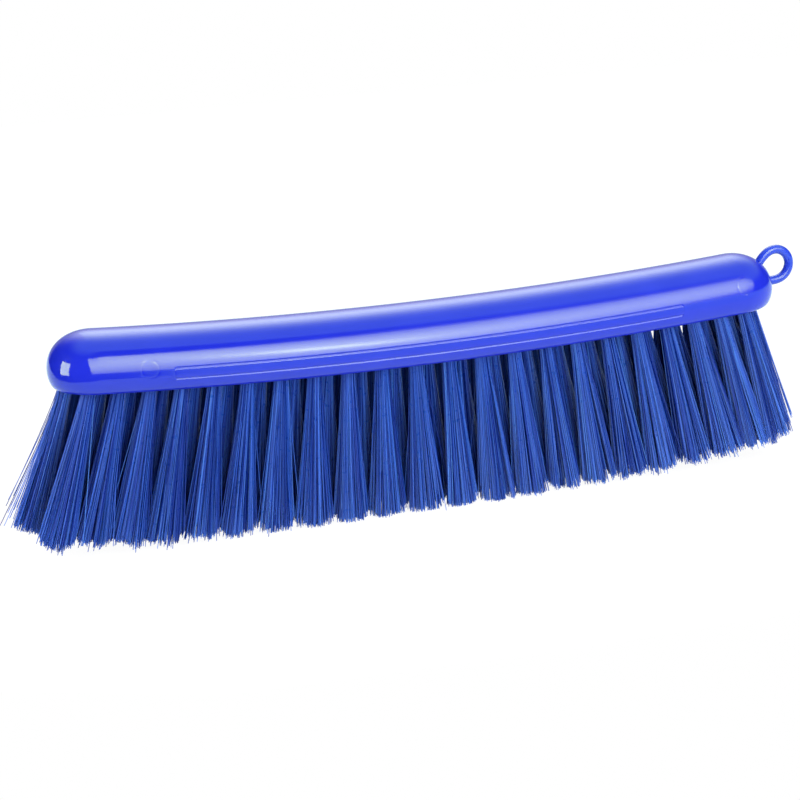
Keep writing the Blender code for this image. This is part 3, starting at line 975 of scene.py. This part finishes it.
def soft_box(tree, azimuth, elevation):
    """Find how bright the main soft box is in each direction."""
    maths, step = tree.maths, tree.step
    low_blur = step(azimuth, *BOX_LOW_BLUR_SPAN)
    left = maths("ADD", maths("ADD", azimuth, BOX_LEFT_EDGE),
                 maths("MULTIPLY", elevation, BOX_LEFT_SLANT))
    right = maths("ADD", BOX_RIGHT_EDGE, maths("MULTIPLY", elevation, BOX_RIGHT_SLANT))
    right = maths("SUBTRACT", right, azimuth)
    top_step = maths("MULTIPLY", step(azimuth, *BOX_TOP_STEP_SPAN), BOX_TOP_STEP)
    top_fall = maths("MAXIMUM", maths("SUBTRACT", azimuth, BOX_TOP_FALL_START), 0.0)
    top = maths("SUBTRACT", maths("ADD", BOX_TOP_EDGE, top_step),
                maths("MULTIPLY", top_fall, BOX_TOP_FALL))
    top = maths("SUBTRACT", top, elevation)
    top_blur = maths("MULTIPLY", step(azimuth, *BOX_TOP_BLUR_SPAN), BOX_TOP_BLUR)
    top_soft = maths("ADD", BOX_TOP_SOFT, top_blur)
    low = maths("SUBTRACT", maths("ADD", elevation, BOX_LOW_EDGE),
                maths("MULTIPLY", low_blur, BOX_LOW_RISE))
    low_from = maths("SUBTRACT", BOX_LOW_SOFT[0], maths("MULTIPLY", low_blur, BOX_LOW_BLUR[0]))
    low_to = maths("ADD", BOX_LOW_SOFT[1], maths("MULTIPLY", low_blur, BOX_LOW_BLUR[1]))
    inside = tree.product(step(left, *BOX_LEFT_SOFT), step(right, *BOX_RIGHT_SOFT),
                          step(top, maths("MULTIPLY", top_soft, -1.0), top_soft),
                          step(low, low_from, low_to))
    swell = maths("MULTIPLY", tree.fall(tree.bell(azimuth, *BOX_SWELL_AZIMUTH)), BOX_SWELL_LEVEL)
    level = maths("SUBTRACT", maths("ADD", swell, BOX_LEVEL),
                  maths("MULTIPLY", step(azimuth, *BOX_DIMMING_SPAN), BOX_DIMMING))
    level = maths("MULTIPLY", level, tree.fall(tree.bell(elevation, *BOX_HEIGHT)))
    hot = maths("ADD", tree.bell(azimuth, *HOT_SPOT_AZIMUTH),
                tree.bell(elevation, *HOT_SPOT_ELEVATION))
    hot = maths("MULTIPLY", tree.fall(hot), HOT_SPOT_LEVEL)
    return maths("MULTIPLY", inside, maths("ADD", level, hot))


def back_lobe(tree, way):
    """Find how bright the soft lamp high behind the brush is in each direction."""
    dot = tree.nodes.new("ShaderNodeVectorMath")
    dot.operation = "DOT_PRODUCT"
    dot.inputs[1].default_value = way_to(LOBE_AZIMUTH, LOBE_ELEVATION)
    tree.links.new(way, dot.inputs[0])
    off = tree.maths("MULTIPLY", tree.maths("ARCCOSINE", dot.outputs["Value"]), math.degrees(1))
    off = tree.maths("POWER", tree.maths("DIVIDE", off, LOBE_WIDTH), 2.0)
    return tree.maths("MULTIPLY", tree.fall(off), LOBE_LEVEL)


def backdrop(tree, x, y, elevation):
    """Find how bright the white backdrop is in each direction."""
    ahead = tree.maths("ADD", tree.maths("MULTIPLY", x, math.sin(AZIMUTH)),
                       tree.maths("MULTIPLY", y, math.cos(AZIMUTH)))
    low = tree.step(tree.maths("SUBTRACT", BACKDROP_TOP, elevation), 0.0, BACKDROP_TOP)
    return tree.product(tree.step(ahead, *BACKDROP_SPAN), low, BACKDROP_LEVEL)


def dim_room(tree, azimuth, elevation):
    """Find how bright the room is in each direction."""
    maths, step = tree.maths, tree.step
    wall = maths("MULTIPLY", step(azimuth, *RIGHT_WALL_SPAN), RIGHT_WALL_LEVEL)
    blur = maths("MULTIPLY", maths("SUBTRACT", 1.0, step(azimuth, *CEILING_BLUR_SPAN)),
                 CEILING_BLUR)
    ceiling = step(elevation, maths("SUBTRACT", CEILING_SPAN[0], blur),
                   maths("ADD", CEILING_SPAN[1], blur))
    high = maths("ADD", wall, maths("MULTIPLY", ceiling, maths("SUBTRACT", CEILING_LEVEL, wall)))
    low = tree.product(step(maths("SUBTRACT", LOW_ROOM_TOP, elevation), 0.0, LOW_ROOM_SOFT),
                       step(azimuth, *LOW_ROOM_SPAN), LOW_ROOM_LEVEL)
    return maths("ADD", maths("MULTIPLY", high, step(elevation, *WALL_SPAN)), low)


def make_world():
    """Surround the brush with what it mirrors: soft boxes, a dim room and a white backdrop."""
    world = bpy.data.worlds.new("studio")
    bpy.context.scene.world = world
    world.use_nodes = True
    world.cycles_visibility.diffuse = False
    tree = NodeTree(world.node_tree)
    tree.nodes.clear()
    maths = tree.maths
    way = tree.coordinates("Generated")
    split = tree.nodes.new("ShaderNodeSeparateXYZ")
    tree.links.new(way, split.inputs[0])
    x, y, z = split.outputs
    elevation = maths("MULTIPLY", maths("ARCSINE", z), math.degrees(1))
    azimuth = maths("ARCTAN2", x, maths("MULTIPLY", y, -1.0))
    azimuth = maths("MULTIPLY", azimuth, math.degrees(1))
    level = maths("ADD", back_lobe(tree, way), backdrop(tree, x, y, elevation))
    level = maths("ADD", soft_box(tree, azimuth, elevation), level)
    lights = tree.background(WHITE, level)
    walls = tree.background(ROOM_COLOUR, dim_room(tree, azimuth, elevation))
    seen = tree.background(WHITE, BACKGROUND_LEVEL)
    out = tree.nodes.new("ShaderNodeOutputWorld")
    tree.links.new(tree.by_ray("Is Camera Ray", tree.both(lights, walls), seen),
                   out.inputs["Surface"])


def make_floor():
    """Lay a white floor that fades into the backdrop and keeps the soft shadow."""
    material, tree, shader = new_material("white_floor")
    tree.nodes.remove(shader)
    distance = tree.nodes.new("ShaderNodeVectorMath")
    distance.operation = "LENGTH"
    tree.links.new(tree.coordinates("Object"), distance.inputs[0])
    fade = tree.remap(distance.outputs["Value"], FLOOR_FADE, FLOOR_GLOW)
    bright = tree.both(tree.emission(WHITE, fade), tree.diffuse(SHADOW_GREY))
    mirrored = tree.emission(FLOOR_COLOUR, FLOOR_MIRRORED_LEVEL)
    unseen = tree.by_ray("Is Glossy Ray", tree.diffuse(FLOOR_GREY), mirrored)
    tree.links.new(tree.by_ray("Is Camera Ray", unseen, bright),
                   tree.nodes["Material Output"].inputs["Surface"])
    corners = [(x, y, 0) for x, y in FLOOR_OUTLINE]
    face = tuple(range(len(corners)))
    floor = make_mesh("floor", corners, [face], material, smooth_shaded=False)


def main():
    """Dress the brush and set up the studio."""
    plastic = moulded_plastic("moulded_blue_plastic", BLOCK_COLOURS, BLOCK_RIPPLE, BLOCK_GRAIN)
    eye_plastic = moulded_plastic("eye_blue_plastic", EYE_COLOURS, EYE_RIPPLE, EYE_GRAIN)
    place(make_block(plastic), "brush_block", "block_plastic")
    place(make_eye(eye_plastic), "hanging_eye", "block_plastic")
    make_tufts(filament_plastic())
    make_camera()
    make_world()
    make_floor()
    for settings in LAMPS:
        lamp(*settings)
    mirrored_card()
    bpy.context.scene.view_settings.view_transform = "Standard"


main()
